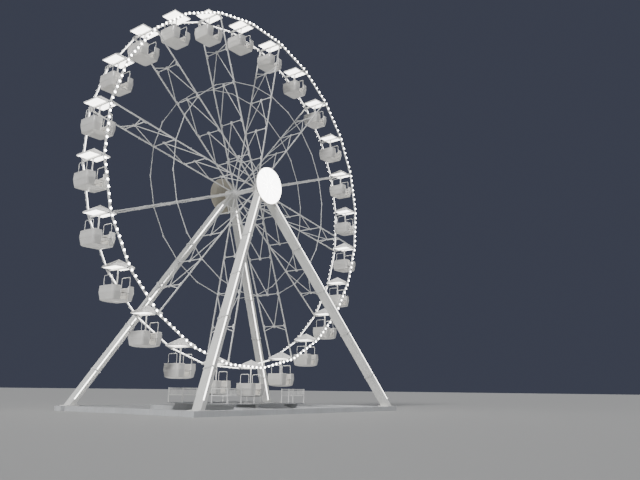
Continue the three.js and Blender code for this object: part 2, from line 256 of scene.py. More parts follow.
def mapped(tree, inputs):
    # Object coordinates through a Mapping node
    place = addNode(tree, "TexCoord", {})
    return addNode(tree, "Mapping", {"Vector": place.outputs["Object"], **inputs}).outputs["Vector"]


def objectNoise(tree, scale, detail=4.0, stretch=(1, 1, 1)):
    vector = mapped(tree, {"Scale": stretch})
    return addNode(tree, "TexNoise", {"Vector": vector, "Scale": scale, "Detail": detail}).outputs["Fac"]


def ramp(tree, source, stops):
    # Stops are two (position, colour) pairs
    node = addNode(tree, "ValToRGB", {"Fac": source})
    for element, (position, colour) in zip(node.color_ramp.elements, stops):
        element.position, element.color = position, (*colour, 1)
    return node.outputs["Color"]


def ranged(tree, source, low, high, start=0.3, end=0.7):
    # Values from start to end are spread over low to high
    node = addNode(tree, "MapRange", {"Value": source, "From Min": start, "From Max": end,
                                      "To Min": low, "To Max": high})
    return node.outputs["Result"]


def mixed(tree, factor, first, second):
    # The second colour laid over the first by the factor
    node = addNode(tree, "Mix", {})
    node.data_type = "RGBA"
    feed(tree, node, {0: factor, 6: first, 7: (*second, 1)})
    return node.outputs[2]


def product(tree, first, second):
    node = addNode(tree, "Math", {0: first, 1: second})
    node.operation = "MULTIPLY"
    return node.outputs["Value"]


def bumped(tree, shader, source, strength, distance):
    bump = addNode(tree, "Bump", {"Strength": strength, "Distance": distance, "Height": source})
    feed(tree, shader, {"Normal": bump.outputs["Normal"]})


def paintedSteel(name, colour, roughness=0.42, grime=0.25):
    # Two tones of the paint in broad clouds, thin rain streaks down Z, fine orange-peel bump
    material, tree, shader = newMaterial(name, colour, roughness)
    tones = ramp(tree, objectNoise(tree, 0.7, 5), [(0.35, tinted(colour, 0.9)), (0.62, colour)])
    streaks = objectNoise(tree, 3.0, 6, (3, 3, 0.25))
    dirty = mixed(tree, ranged(tree, streaks, 0, grime, 0.55, 0.8), tones, tinted(colour, (0.66, 0.63, 0.58)))
    rough = ranged(tree, streaks, roughness - 0.08, roughness + 0.12)
    feed(tree, shader, {"Base Color": dirty, "Roughness": rough})
    bumped(tree, shader, objectNoise(tree, 90, 2), 0.12, 0.002)
    return material


def mouldedShell(name, colour, roughness=0.28):
    # Gloss moulding: soft clouds of tone, and grime that gathers low on the shell by its own height
    material, tree, shader = newMaterial(name, colour, roughness)
    tones = ramp(tree, objectNoise(tree, 1.6, 4), [(0.35, tinted(colour, 0.94)), (0.65, colour)])
    height = addNode(tree, "Attribute", {})
    height.attribute_name = "ownHeight"
    low = ranged(tree, height.outputs["Fac"], 0, 0.3, -1.75, -2.4)
    patches = ranged(tree, objectNoise(tree, 5, 6, (1, 1, 0.4)), 0.2, 1.0)
    dirty = mixed(tree, product(tree, low, patches), tones, tinted(colour, (0.62, 0.6, 0.55)))
    feed(tree, shader, {"Base Color": dirty, "Coat Weight": 0.5, "Coat Roughness": 0.12})
    bumped(tree, shader, objectNoise(tree, 14, 2), 0.05, 0.004)
    return material


def glowing(name, colour, glow, strength):
    # An even glow over plastic with a faint mottle: a lit diffuser on the lamps, and painted light on the
    # gondola's inside and roof, which are no lamps
    material, tree, shader = newMaterial(name, colour, 0.45)
    tones = ramp(tree, objectNoise(tree, 9, 3), [(0.3, tinted(colour, 0.93)), (0.7, colour)])
    feed(tree, shader, {"Base Color": tones, "Emission Color": (*glow, 1), "Emission Strength": strength})
    return material


def bareMetal(name, colour, roughness=0.35):
    # Brushed zinc or aluminium: long fine scratches and a spangle of tone
    material, tree, shader = newMaterial(name, colour, roughness, metallic=0.9)
    tones = ramp(tree, objectNoise(tree, 24, 3), [(0.3, tinted(colour, 0.9)), (0.7, colour)])
    scratch = objectNoise(tree, 60, 3, (0.2, 1, 1))
    rough = ranged(tree, scratch, roughness - 0.1, roughness + 0.15)
    feed(tree, shader, {"Base Color": tones, "Roughness": rough})
    bumped(tree, shader, scratch, 0.08, 0.001)
    return material


def treadPlate(name, colour):
    # Raised lozenges: two sine waves across the diagonals, multiplied
    material, tree, shader = newMaterial(name, colour, 0.5, metallic=0.75)
    waves = []
    for turn in (math.radians(45), math.radians(-45)):
        vector = mapped(tree, {"Rotation": (0, 0, turn), "Scale": (1, 0.35, 1)})
        waves.append(addNode(tree, "TexWave", {"Vector": vector, "Scale": 9}).outputs["Fac"])
    height = product(tree, *waves)
    # The hollows between the lozenges are painted darker than the raised tops: painted shade
    hollowShade = ramp(tree, height, [(0.25, tinted(colour, 0.7)), (0.6, colour)])
    dust = objectNoise(tree, 1.3, 6)
    dusty = mixed(tree, ranged(tree, dust, 0.0, 0.4), hollowShade, (0.4, 0.39, 0.37))
    feed(tree, shader, {"Base Color": dusty, "Roughness": ranged(tree, dust, 0.38, 0.65)})
    bumped(tree, shader, height, 0.6, 0.004)
    return material


warmWhite = (1.0, 0.975, 0.92)
frameWhite = paintedSteel("frame_white", (0.82, 0.82, 0.8))
baseGrey = paintedSteel("base_grey", (0.5, 0.51, 0.52), 0.55, grime=0.5)
legWhite = paintedSteel("leg_white", (0.78, 0.78, 0.75), 0.4, grime=0.35)
discBack = paintedSteel("disc_back", (0.44, 0.41, 0.34), 0.6, grime=0.3)
shellWhite = mouldedShell("shell_white", (0.74, 0.73, 0.7))
# The gondola's inside is no lamp: its faint glow is painted light, and its tone, darker than the outside, is
# painted shade
insidePaintedGlowAndShade = glowing("shell_inside", (0.62, 0.6, 0.56), warmWhite, 0.06)
seatPad = mouldedShell("seat_pad", (0.55, 0.54, 0.52), 0.45)
barDark = paintedSteel("bar_dark", (0.11, 0.11, 0.115), 0.5, grime=0.15)
# The roof is no lamp: its faint glow is painted light
roofPaintedGlow = glowing("roof_white", (0.86, 0.85, 0.83), warmWhite, 0.22)
ceilingGlow = glowing("ceiling_glow", (0.95, 0.94, 0.9), warmWhite, 6.0)
bulbGlow = glowing("bulb_glow", (0.98, 0.97, 0.93), warmWhite, 16.0)
stripGlow = glowing("strip_glow", (0.98, 0.97, 0.93), warmWhite, 6.0)
discGlow = glowing("disc_glow", (0.98, 0.98, 0.96), (1.0, 0.99, 0.97), 9.0)
zincBolt = bareMetal("zinc_bolt", (0.6, 0.61, 0.62))
brightTrim = bareMetal("bright_trim", (0.72, 0.73, 0.74), 0.28)
deckTread = treadPlate("deck_tread", (0.5, 0.51, 0.52))
# Black for the leg seals, and painted shadow for the gap under each bench seat
blackSealAndShadowGap = paintedSteel("joint_black", (0.04, 0.04, 0.045), 0.7, grime=0.1)
print("materials made")

finishes = {"_leg": legWhite, "_head": legWhite, "base_beam": baseGrey, "deck_underframe": baseGrey,
            "boarding_deck": deckTread, "boarding_steps": deckTread, "hub_disc": discBack}
for name, node in nodes.items():
    usual = shellWhite if name in gondolaNames else frameWhite
    fitting = [finish for ending, finish in finishes.items() if name.endswith(ending)]
    node.data.materials.clear()
    node.data.materials.append((fitting + [usual])[0])


# Gondola, drawn about its pivot and set down at each one

gondola = {
    "tub": (0.91, 0.845), "corner": 0.17, "crown": 0.012, "wall": 0.055, "liner": 0.012,
    "doorX": (-0.25, 0.38), "footZ": -2.192, "floorZ": -2.163, "rimZ": -1.222,
    "profile": [(0.30, -2.312), (0.50, -2.306), (0.72, -2.262), (0.86, -2.213), (0.895, -2.192),
                (0.915, -2.13), (0.985, -1.74), (1.0, -1.66), (0.998, -1.58), (0.973, -1.235)],
    "panelDeep": 0.014, "panelRows": ((-2.1, -1.76), (-1.55, -1.34)), "panelEdge": 0.014,
    "plainRows": ((-2.16, -2.13), (-1.74, -1.7, -1.66, -1.62, -1.58), (-1.29,)),
    "seatFront": 0.385, "seatRear": 0.742, "seatHalf": 0.675, "seatZ": -1.722, "backZ": -1.292,
    "hoopHalf": 0.46, "hoopTop": -0.52, "hoopX": 0.715, "hoopRadius": 0.02, "hoopCorner": 0.11,
    "hoopSunk": 0.05, "baseSunk": 0.01, "baseIn": (0.02, 0.05), "padDeep": 0.075, "jointIn": 0.03,
    "gateBarZ": -1.71, "gateBarThick": 0.034, "gateBarLap": 0.04, "gateBracket": (0.05, 0.046, 0.11),
    "jambStrip": (0.012, 0.072), "sillWide": 0.06,
    "roof": (0.80, 0.77), "roofSteps": 48, "eaveZ": (0.05, 0.13), "apexZ": 0.655,
    "beamHalf": 1.088, "beamThick": 0.118, "postRadius": 0.048, "postFlange": 0.12, "housing": 0.094,
}


def levelScale(z):
    profile = np.array(gondola["profile"])
    return np.interp(z, profile[:, 1], profile[:, 0])


def ovalRing(a, b, corner, perCorner=6):
    # Closed rounded rectangle: four quarter circles joined by straight sides, each side with a middle point
    turn = np.linspace(0, math.pi / 2, perCorner)
    ring = []
    middles = [(0, b), (-a, 0), (0, -b), (a, 0)]
    for k, (sx, sy) in enumerate(((1, 1), (-1, 1), (-1, -1), (1, -1))):
        x, y = sx * (a - corner), sy * (b - corner)
        ring += [(x + corner * math.cos(t), y + corner * math.sin(t)) for t in turn + k * math.pi / 2]
        ring.append(middles[k])
    return np.array(ring)


def tubPan():
    # Dished underside in rounded rings up to the wall's foot, closed on top by the floor
    a, b = gondola["tub"]
    lip = gondola["footZ"] + 0.006
    levels = [(scale - 0.008, z) for scale, z in gondola["profile"] if z < gondola["footZ"]]
    scale = float(levelScale(gondola["footZ"]))
    levels += [(scale - 0.008, lip), (scale - 0.03, gondola["floorZ"]), (0.3, gondola["floorZ"])]
    rings = [ovalRing(a * s, b * s, gondola["corner"] * s) for s, z in levels]
    return lofted(atHeights(rings, [z for s, z in levels]))


def wallShape(side, z, inset, sunk):
    # Columns run round one wing from jamb to jamb: x = p * A + q and y = s * B + w, where A and B are
    # the half sizes of each row; the end wall's columns sink by the panel's depth.
    # The other wing is this one turned half round
    r, crown = gondola["corner"], gondola["crown"]
    nearX, farX = gondola["doorX"][1], -gondola["doorX"][0]
    run = np.linspace(0, 1, 4)[:-1]
    turn = np.linspace(0, math.pi / 2, 7)
    edge = r + np.array([0.012, 0.026])
    share = np.array([0.97, 0.95, 0.5, 0, 0.5, 0.95, 0.97])
    before, level = len(run) + len(turn), np.zeros(len(run))
    arcX, arcY = r * np.sin(turn) - r - crown, r - r * np.cos(turn)
    p = np.concatenate([run, np.ones(2 * len(turn) + len(share)), run[::-1]])
    q = np.concatenate([(1 - run) * nearX - run * (r + crown), arcX, -crown * share ** 2, arcX[::-1],
                        ((1 - run) * farX - run * (r + crown))[::-1]])
    s = np.pad([-1, -1, -0.4, 0, 0.4, 1, 1], before, constant_values=(-1, 1))
    w = np.concatenate([level, arcY, edge, [0, 0, 0], -edge[::-1], -arcY[::-1], level])
    panel = np.pad([0, 1, 1, 1, 1, 1, 0], before)
    scale = levelScale(z)
    a, b = gondola["tub"]
    x = np.outer(a * scale - inset, p) + q - np.outer(sunk, panel) * gondola["panelDeep"]
    y = np.outer(b * scale - inset, s) + w
    points = np.stack([side * x, side * y, np.broadcast_to(z[:, None], x.shape)], -1)
    rows, cols = x.shape
    ends = [ladder(rows) * cols + c for c in (0, cols - 1)]
    return points.reshape(-1, 3), np.concatenate([gridQuads(rows, cols, wrapRows=True)] + ends)


def tubWing(side):
    # A closed section runs up the outside, over a rolled bead and down the inside. Up the outside,
    # each height comes with how far it is sunk: two sunk panels between three plain stretches
    edge = gondola["panelEdge"]
    lower, upper = ([(low, 0), (low + edge, 1), ((low + high) / 2, 1), (high - edge, 1), (high, 0)]
                    for low, high in gondola["panelRows"])
    foot, band, brow = ([(z, 0) for z in heights] for heights in gondola["plainRows"])
    rise = np.array([(gondola["footZ"], 0), *foot, *lower, *band, *upper, *brow])
    bead = np.array([(0, -1.268), (-0.012, -1.26), (-0.014, -1.245), (-0.008, -1.23),
                     (0.004, gondola["rimZ"])])
    over = np.concatenate([bead, (bead * [-1, 1] + [gondola["wall"], 0])[::-1]])
    z = np.concatenate([rise[:, 0], over[:, 1], rise[::-1, 0]])
    inset = np.concatenate([np.zeros(len(rise)), over[:, 0], np.full(len(rise), gondola["wall"])])
    sunk = np.concatenate([rise[:, 1], np.zeros(len(over) + len(rise))])
    return wallShape(side, z, inset, sunk)


def tubLiner(side):
    # Thin inner skin, let a little way into the wall
    z = np.array([-2.15, -1.9, -1.66, -1.45, -1.285])
    inset = np.repeat([gondola["wall"] - 0.004, gondola["wall"] + gondola["liner"]], len(z))
    return wallShape(side, np.concatenate([z, z[::-1]]), inset, np.zeros(2 * len(z)))


def jambStrips():
    # Each jamb has a slim strip that follows the wall's lean; the far two are the near two turned half round
    z = np.array([gondola["footZ"] + 0.01, -2.13, -1.74, -1.66, -1.58, -1.275])
    a, b = gondola["jambStrip"]
    section = square * [a / 2, b / 2]
    strips = []
    for sign in (-1, 1):
        for x, inward in ((gondola["doorX"][0], 1), (gondola["doorX"][1], -1)):
            y = gondola["wall"] / 2 - gondola["tub"][1] * levelScale(z)
            path = np.column_stack([np.full(len(z), x + inward * 0.003), y, z]) * [-sign, -sign, 1]
            strips.append(swept(path, section, (0, 1, 0)))
    return joined(*strips)


def gateBars():
    # A square bar across each doorway, with a bracket at both ends, and the doorway's sill
    x0, x1 = gondola["doorX"]
    lap, thick, z = gondola["gateBarLap"], gondola["gateBarThick"], gondola["gateBarZ"]
    outer = gondola["tub"][1]
    bars, brackets, sills = [], [], []
    foot = outer * float(levelScale(gondola["footZ"])) - gondola["sillWide"] / 2
    high = gondola["floorZ"] + 0.012 - gondola["footZ"]
    for sign in (-1, 1):
        middle = -sign * (x0 + x1) / 2
        bars.append(boxShape((x1 - x0 + 2 * lap, thick, thick), 0.006, (middle, sign * outer, z)))
        for x in (x0 - lap * 0.6, x1 + lap * 0.6):
            brackets.append(boxShape(gondola["gateBracket"], 0.006, (-sign * x, sign * (outer - 0.008), z)))
        sill = (x1 - x0 + 0.02, gondola["sillWide"], high)
        sills.append(boxShape(sill, 0.005, (middle, sign * foot, gondola["footZ"] + high / 2)))
    return joined(*bars), joined(*brackets, *sills)


def benchPad(side):
    # One moulding: nose, dished seat and back over a plain rear line, drawn along Y with soft ends
    front, rear = gondola["seatFront"], gondola["seatRear"]
    seat, back = gondola["seatZ"], gondola["backZ"]
    over = smoothLine([(front + 0.012, seat - 0.062), (front - 0.004, seat - 0.045), (front, seat - 0.018),
                       (front + 0.025, seat - 0.003), (front + 0.1, seat - 0.002),
                       (front + 0.19, seat - 0.016), (rear - 0.1, seat - 0.006),
                       (rear - 0.066, seat + 0.05), (rear - 0.05, back - 0.08),
                       (rear - 0.045, back - 0.02), (rear - 0.02, back)], 3)
    behind = np.linspace((rear + 0.08, seat - 0.062), (rear + 0.08, back - 0.012), len(over))
    y = gondola["seatHalf"] * np.array([-1, -0.985, -0.95, 0.95, 0.985, 1])
    shrink = np.array([0.03, 0.008, 0, 0, 0.008, 0.03])
    rows = []
    for place, inset in zip(y, shrink):
        drawnIn = over + np.column_stack([np.full(len(over), inset), -inset * np.linspace(0, 1, len(over))])
        section = np.concatenate([drawnIn, behind[::-1]])
        rows.append(np.column_stack([side * section[:, 0], np.full(len(section), place), section[:, 1]]))
    count = len(rows[0])
    ends = [ladder(count) + base for base in (0, (len(rows) - 1) * count)]
    return np.concatenate(rows), np.concatenate([gridQuads(len(rows), count, wrapCols=True)] + ends)


def benchBase(side):
    # Plain box under the pad, set back behind the nose, and a dark box in the joint between them: painted
    # shadow in the gap under the seat
    front, rear, inset = gondola["seatFront"], gondola["seatRear"], gondola["jointIn"]
    low, high = gondola["floorZ"] - gondola["baseSunk"], gondola["seatZ"] - gondola["padDeep"]
    middle = (front + rear) / 2
    long, wide = rear - front - gondola["baseIn"][0], 2 * gondola["seatHalf"] - gondola["baseIn"][1]
    box = boxShape((long, wide, high - low), 0.004, (side * (middle + 0.004), 0, (low + high) / 2))
    joint = boxShape((long - inset, wide - inset, 0.03), 0, (side * (middle + 0.006), 0, high + 0.005))
    return box, joint


def hoop(side):
    # Two uprights and a top bar with quarter-round corners, as one swept tube
    half, top, corner = gondola["hoopHalf"], gondola["hoopTop"], gondola["hoopCorner"]
    turn = np.linspace(0, math.pi / 2, 6)
    left = np.column_stack([-half + corner * (1 - np.cos(turn)), top - corner * (1 - np.sin(turn))])
    foot = gondola["backZ"] - gondola["hoopSunk"]
    path = np.concatenate([[[-half, foot]], left, (left * [-1, 1])[::-1], [[half, foot]]])
    lifted = np.column_stack([np.full(len(path), side * gondola["hoopX"]), path])
    return swept(lifted, circleSection(gondola["hoopRadius"], 10), (1, 0, 0))


def roofRise(share):
    low, high = gondola["eaveZ"][1], gondola["apexZ"]
    return low + (high - low) * (1 - share ** 1.04)


def squareLevels(levels):
    # Square rings at (share of the roof's half sizes, height) levels: each point of a circle is pushed out
    # by one over the larger of its |x| and |y|
    ring = circleSection(1, gondola["roofSteps"])
    ring /= np.abs(ring).max(1)[:, None]
    shares, heights = zip(*levels)
    return np.array(atHeights([ring * share * gondola["roof"] for share in shares], heights))


def roofSkin():
    # Square rings climb from the folded eave to the apex, with a slight crown
    e0, e1 = gondola["eaveZ"]
    share = np.linspace(1, 0.035, 12)
    levels = [(0.955, e0 + 0.012), (0.965, e0), (0.985, e0), (1.0, e0 + 0.012), (1.0, e1 - 0.012)]
    levels += [(s if i else 0.992, z) for i, (s, z) in enumerate(zip(share, roofRise(share)))]
    rings = squareLevels(levels)
    count, steps = rings.shape[:2]
    quads = [gridQuads(count, steps, wrapCols=True), capQuads((count - 1) * steps + np.arange(steps))]
    return rings.reshape(-1, 3), np.concatenate(quads)


def roofRibs():
    # Thin rods lie on the four hips and on the four middle lines of the panels
    a, b = gondola["roof"]
    share = np.linspace(0.99, 0.06, 9)
    ribs = []
    for angle in np.arange(8) * math.pi / 4:
        reach = 1 / max(abs(math.cos(angle)), abs(math.sin(angle)))
        flat = [a * reach * math.cos(angle) * share, b * reach * math.sin(angle) * share]
        radius = 0.011 if abs(math.sin(2 * angle)) > 0.5 else 0.006
        path = np.column_stack([*flat, roofRise(share) + 0.004])
        ribs.append(swept(path, circleSection(radius, 6), (0, 0, 1)))
    return joined(*ribs)


def ceilingPanel():
    # The lit square under the roof, with a rounded edge
    z = gondola["eaveZ"][0] + 0.012
    return lofted(squareLevels([(0.955, z + 0.02), (0.955, z), (0.93, z - 0.006), (0.12, z - 0.006)]))


def gondolaFittings():
    # Hanger beam with round pivot housings at its ends, and the post with a flange at each end
    half, thick, floor = gondola["beamHalf"], gondola["beamThick"], gondola["floorZ"]
    r, wide, outer = gondola["postRadius"], gondola["postFlange"], gondola["housing"]
    beam = alongY(boxShape((thick, thick, 2 * half), 0.01))
    post = turnedProfile([(wide, floor), (wide, floor + 0.02), (r + 0.012, floor + 0.03), (r, floor + 0.08),
                          (r, -0.14), (r + 0.012, -0.09), (wide - 0.02, -0.08), (wide - 0.02, -0.06)], 20)
    housing = turnedProfile([(0.05, 0), (outer - 0.006, 0.0), (outer, 0.008), (outer, 0.1),
                             (outer - 0.01, 0.112), (0.05, 0.112)], 24)
    housings = joined(*[alongY(housing, sign * (half - 0.11), sign) for sign in (-1, 1)])
    return beam, post, housings


apex = gondola["apexZ"]
finial = turnedProfile([(0.055, apex - 0.03), (0.055, apex), (0.045, apex + 0.014), (0.02, apex + 0.023)], 16)
beamShape, postShape, housingShape = gondolaFittings()
gateBarShape, doorTrim = gateBars()
bases = [benchBase(side) for side in (-1, 1)]
shellParts = [
    (joined(tubPan(), tubWing(-1), tubWing(1)), shellWhite),
    (joined(tubLiner(-1), tubLiner(1), bases[0][0], bases[1][0]), insidePaintedGlowAndShade),
    (joined(benchPad(-1), benchPad(1)), seatPad),
    # The dark boxes in the bench joints are painted shadow
    (joined(bases[0][1], bases[1][1]), blackSealAndShadowGap),
]
roofParts = [(joined(roofSkin(), roofRibs(), finial), roofPaintedGlow), (ceilingPanel(), ceilingGlow)]
metalParts = [(joined(beamShape, postShape, hoop(-1), hoop(1), jambStrips(), doorTrim), frameWhite),
              (housingShape, brightTrim), (gateBarShape, barDark)]
for name, pivot in pivots.items():
    for ending, parts in (("_shell", shellParts), ("_roof", roofParts), ("_hanger", metalParts)):
        placed = [(moved(shape, pivot), material) for shape, material in parts]
        replaced = (name,) if ending == "_shell" else ()
        makePiece(name + ending, placed, name + "_body", replaced, pivot[2], 24)
print("gondolas dressed")


# Wheel: bulbs, light strips, splice plates, gussets, bolts and a turned hub

wheel = {
    "rimThick": 0.11, "bulbsPerBay": 8, "bulbRadius": 0.088, "bulbHigh": 0.06, "bulbBase": 0.024,
    "stripWide": 0.045, "stripThick": 0.012, "spliceLong": 0.46, "spliceWide": 0.1, "spliceThick": 0.012,
    "chord": 0.08, "brace": 0.045, "chordY": (1.28, 1.23), "strutLevels": (3.0, 5.95, 9.15, 12.0),
    "chordSplices": (4.5, 7.6, 10.6), "tieRadius": 9.15, "boltRadius": 0.014, "boltHigh": 0.014,
    "tieThick": 0.045, "hubFlange": 0.38, "hubBoltCircle": 0.315, "barrel": 0.182, "shaftRadius": 0.16,
    "collar": [(0.07, 0), (0.07, 0.05), (0.055, 0.062), (0.04, 0.062)],
    "spliceBolts": (-0.16, -0.05, 0.06, 0.17), "gussetBolts": (-0.13, -0.05, 0.05, 0.13),
    "cheekBolts": (-0.18, -0.09, 0.09, 0.18), "middleBolts": (0.09, 0.05),
    "gusset": (0.42, 0.12, 0.01), "middlePlate": (0.28, 0.2, 0.01), "chordFlange": (0.024, 0.13, 0.13),
    "cheek": (0.46, 0.1, 0.012), "tip": (0.5, 0.1, 0.012), "clamp": (0.068, 0.06, 0.26),
    "stripShare": 0.86, "spliceIn": 0.03, "spliceApart": 0.03, "cheekOut": 0.24, "tipIn": 0.34,
    # Stand-off of gussets, middle plates and cheeks, each with its bolts' feet, and of tips
    "standOff": ((0.004, 0.01), (0.007, 0.012), (0.007, 0.013), 0.006),
    "gussetLap": 0.02, "flangeApart": 0.018, "hubBoltY": 1.34,
}


def wheelFrames(angles):
    # One 3x3 matrix for each angle; its columns are radial, +Y and the direction round the wheel
    radial = np.stack([np.cos(angles), np.zeros_like(angles), np.sin(angles)], -1)
    around = np.stack([-np.sin(angles), np.zeros_like(angles), np.cos(angles)], -1)
    return np.stack(np.broadcast_arrays(radial, [0.0, 1.0, 0.0], around), -1)


def hexBolt(scale=1.0):
    r, h = wheel["boltRadius"] * scale, wheel["boltHigh"] * scale
    return turnedProfile([(r * 1.5, 0), (r * 1.5, h * 0.25), (r, h * 0.26), (r, h), (r * 0.8, h * 1.15)], 6)


cornerAngles = phase + pitch * np.arange(bays)
cornerTurns = wheelFrames(cornerAngles)
sideTurns = wheelFrames(cornerAngles + pitch / 2)
sideRadius = rimRadius * math.cos(pitch / 2)
sideLong = 2 * rimRadius * math.sin(pitch / 2)
rimFaceY = {"near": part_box("near_rim")[0].y, "far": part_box("far_rim")[1].y}


def onSides(points):
    # Places and turns, on every side of the rim, of points given as (out from the side's line, y, along it)
    local = np.asarray(points, float).reshape(-1, 3) + [sideRadius, 0, 0]
    places = np.einsum("nij,pj->npi", sideTurns, local) + hub
    return places.reshape(-1, 3), np.repeat(sideTurns, len(local), 0)


for face, sign in (("near", -1), ("far", 1)):
    faceY = rimFaceY[face]
    backY = faceY - sign * wheel["rimThick"]
    r, base, count = wheel["bulbRadius"], wheel["bulbBase"], wheel["bulbsPerBay"]
    arc = np.linspace(0, math.pi / 2 * 0.92, 5)
    dome = turnedProfile([(r * math.cos(t), base + wheel["bulbHigh"] * math.sin(t)) for t in arc], 12)
    socket = turnedProfile([(r * 1.15, -0.004), (r * 1.15, base * 0.8), (r * 1.05, base)], 12)
    places = onSides([(0, faceY, ((k + 0.5) / count - 0.5) * sideLong) for k in range(count)])
    lamps = [(stamped(alongY(shape, 0, sign), *places), material)
             for shape, material in ((dome, bulbGlow), (socket, brightTrim))]
    makePiece(f"{face}_rim_bulbs", lamps, "wheel")

    strip = boxShape((wheel["stripWide"], wheel["stripThick"], sideLong * wheel["stripShare"]), 0.003)
    places = onSides([(0, backY - sign * wheel["stripThick"] / 2, 0)])
    makePiece(f"{face}_rim_strip", [(stamped(strip, *places), stripGlow)], "wheel")

    # Splice plates on the rim's inner and outer edges at every corner, with bolts on the outer ones,
    # and a collar round each pivot pin
    thick, long, apart = wheel["spliceThick"], wheel["spliceLong"], wheel["spliceApart"]
    middleY, edge = (faceY + backY) / 2, (wheel["rimThick"] + thick) / 2
    end = (sideLong - long) / 2 - wheel["spliceIn"]
    plate = boxShape((thick, wheel["spliceWide"], long), 0.003)
    plates = stamped(plate, *onSides([(side * edge, middleY, t) for side in (-1, 1) for t in (end, -end)]))
    collar = alongY(turnedProfile(wheel["collar"], 20), 0, -sign)
    collars = stamped(collar, [pivot + [0, backY, 0] for pivot in pivots.values()])
    spots, turns = onSides([(edge + thick / 2, middleY + dy, t + dt)
                            for t in (end, -end) for dt in wheel["spliceBolts"] for dy in (-apart, apart)])
    outward = np.array([[0, 0, 1], [0, 1, 0], [1, 0, 0]])
    bolts = stamped(hexBolt(), spots, turns @ outward)
    splices = [(plates, frameWhite), (joined(collars, bolts), zincBolt)]
    makePiece(f"{face}_rim_splices", splices, "wheel")
print("rims lit")


def chordAt(r):
    y0, y1 = wheel["chordY"]
    return y0 + (y1 - y0) * r / rimRadius


def gussetPlate(long, tall, thick):
    # A hexagonal plate in the radial and Y plane, as a closed six-sided prism
    outline = [(-long / 2, 0), (-long / 3, -tall), (long / 3, -tall), (long / 2, 0),
               (long / 2.4, 0.05), (-long / 2.4, 0.05)]
    return lofted(atHeights([outline, outline], [-thick / 2, thick / 2]))


def spokeTrim():
    # Everything on one spoke in (radial, y, round) order, before it is turned to each spoke
    plates, bolts, flanges = [], [], []
    half, flat = wheel["chord"] / 2, wheel["brace"] / 2
    root, reach = wheel["hubFlange"] + wheel["cheekOut"], rimRadius - wheel["tipIn"]
    gussetOff, middleOff, cheekOff, tipOff = wheel["standOff"]
    lap, apart, (dr, dy) = wheel["gussetLap"], wheel["flangeApart"], wheel["middleBolts"]
    points, quads = gussetPlate(*wheel["gusset"])
    for side in (-1, 1):
        for level in wheel["strutLevels"]:
            for sign in (-1, 1):
                y = sign * (chordAt(level) - half + lap)
                plates.append((points * [1, sign, 1] + [level, y, side * (half + gussetOff[0])], quads))
                bolts += [(level + r, y + sign * lap, side, half + gussetOff[1])
                          for r in wheel["gussetBolts"]]
            plates.append(boxShape(wheel["middlePlate"], 0.003, (level, 0, side * (flat + middleOff[0]))))
            bolts += [(level + r, y, side, flat + middleOff[1]) for r in (-dr, dr) for y in (-dy, dy)]
        for sign in (-1, 1):
            y = sign * chordAt(root)
            plates.append(boxShape(wheel["cheek"], 0.004, (root, y, side * (half + cheekOff[0]))))
            bolts += [(root + r, y, side, half + cheekOff[1]) for r in wheel["cheekBolts"]]
            y = sign * chordAt(reach)
            plates.append(boxShape(wheel["tip"], 0.004, (reach, y, side * (half + tipOff))))
    for level in wheel["chordSplices"]:
        flanges += [boxShape(wheel["chordFlange"], 0, (level + shift, sign * chordAt(level), 0))
                    for sign in (-1, 1) for shift in (-apart, apart)]
    bolts = np.array(bolts)
    turnedOver = np.diag([1.0, -1.0, -1.0])
    turns = np.where(bolts[:, 2, None, None] > 0, np.eye(3), turnedOver)
    heads = stamped(hexBolt(), np.column_stack([bolts[:, 0], bolts[:, 1], bolts[:, 2] * bolts[:, 3]]), turns)
    return joined(*plates), heads, joined(*flanges)


spokeTurns = cornerTurns[::2]
hubSpots = [hub] * len(spokeTurns)
plates, heads, flanges = spokeTrim()
for name, shape, material in (("spoke_gussets", joined(plates, flanges), frameWhite),
                              ("spoke_bolts", heads, zincBolt)):
    makePiece(name, [(stamped(shape, hubSpots, spokeTurns), material)], "wheel")

# Tie ring clamps where the ring crosses the chords, and sleeves at its corners between spokes
tieY = chordAt(wheel["tieRadius"]) + (wheel["chord"] + wheel["tieThick"]) / 2
clamp = boxShape(wheel["clamp"], 0.006)
clamps = [stamped(clamp, cornerTurns @ [wheel["tieRadius"], sign * tieY, 0] + hub, cornerTurns)
          for sign in (-1, 1)]
makePiece("tie_ring_sleeves", [(joined(*clamps), frameWhite)], "wheel")

# Hub turned about Y: shaft, boss, flange with its rounded rim, cone, then the barrel with a collar each side
shaft, flange, barrel = wheel["shaftRadius"], wheel["hubFlange"], wheel["barrel"]
hubProfile = [(shaft, -2.0), (shaft, -1.372), (0.26, -1.366), (0.27, -1.345), (flange - 0.03, -1.338),
              (flange, -1.326), (flange, -1.234), (flange - 0.03, -1.222), (0.27, -1.19), (barrel, -1.1),
              (barrel, -0.45), (barrel + 0.022, -0.44), (barrel + 0.022, -0.36), (barrel, -0.35)]
hubProfile += [(r, -y) for r, y in hubProfile[::-1]]
hubShape = alongY(turnedProfile(hubProfile, 64))
hubBolts = [stamped(alongY(hexBolt(1.4), 0, sign),
                    ringOnY(wheel["hubBoltCircle"], 24, sign * wheel["hubBoltY"])) for sign in (-1, 1)]
makePiece("turned_hub", [(moved(hubShape, hub), frameWhite), (moved(joined(*hubBolts), hub), zincBolt)],
          "wheel", ("hub_drum",))
print("spokes and hub trimmed")


# Bearing heads and lamp discs

head = {
    "radius": 0.38, "y": (1.42, 2.18), "discRadius": 1.58, "discY": (2.612, 2.7), "sectors": 12,
    "joint": 0.007, "cap": 0.3, "rim": 0.04, "sink": 0.02, "ribs": 12, "backRing": (1.0, 1.04),
}


